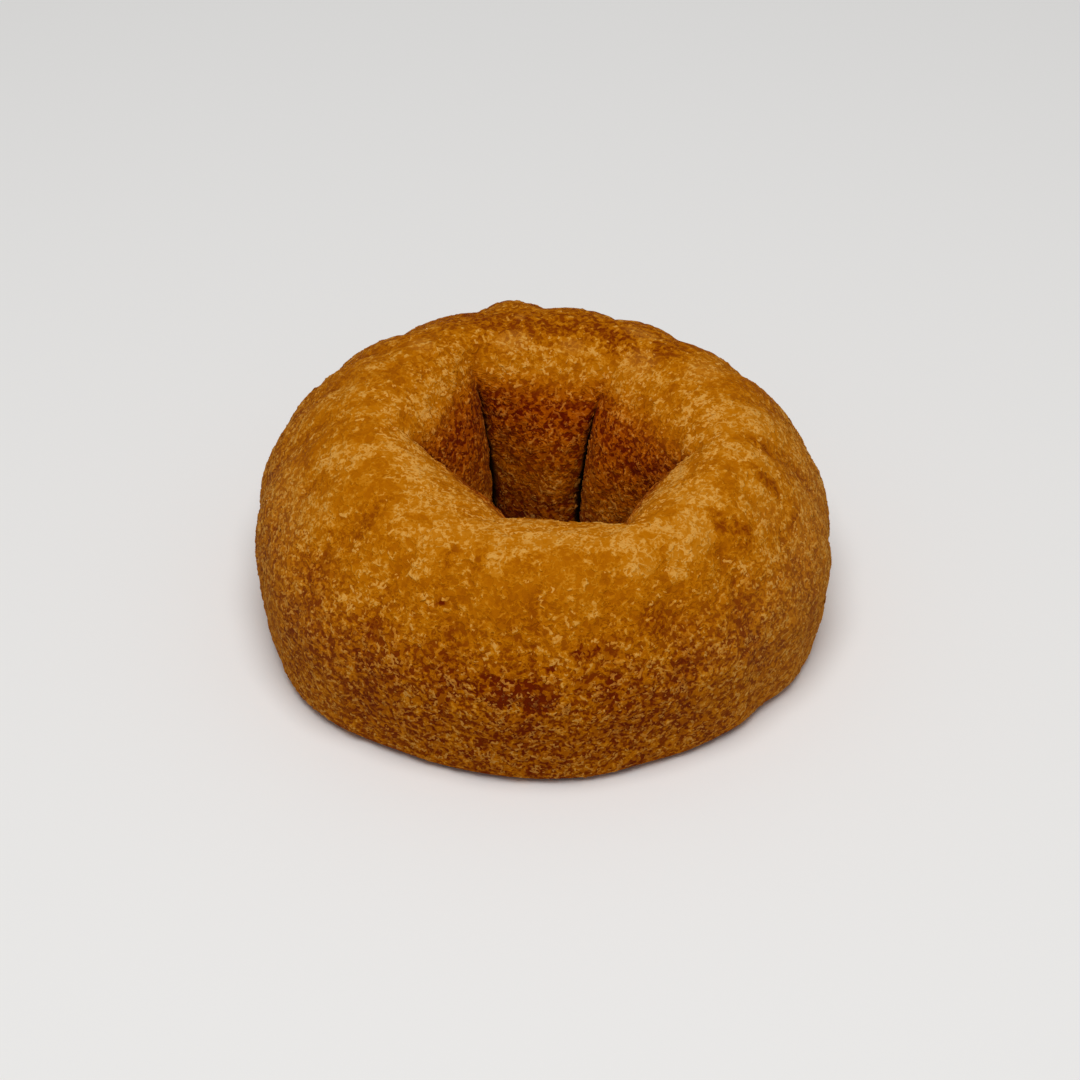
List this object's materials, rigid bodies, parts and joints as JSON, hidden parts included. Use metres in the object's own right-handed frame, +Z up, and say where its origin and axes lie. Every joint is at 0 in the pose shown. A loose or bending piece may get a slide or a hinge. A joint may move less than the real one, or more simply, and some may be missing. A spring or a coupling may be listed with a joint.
{
  "type": "cake doughnut",
  "caption": "Plain fried cake doughnut: a thick golden brown ring with a flat base, a fluted shoulder and a folded funnel-shaped hole.",
  "frame": {"origin": "middle of the bounding box's underside, on the surface the doughnut stands on", "axes": "+Z up, along the hole and the doughnut's shortest extent; -Y is the side nearest the camera in the picture"},
  "size_m": [0.0794, 0.0818, 0.0326],
  "materials": {
    "crust": "matte golden brown fried crust, finely grained"
  },
  "bodies": {
    "root": {"doughnut": "crust"}
  },
  "joints": []
}
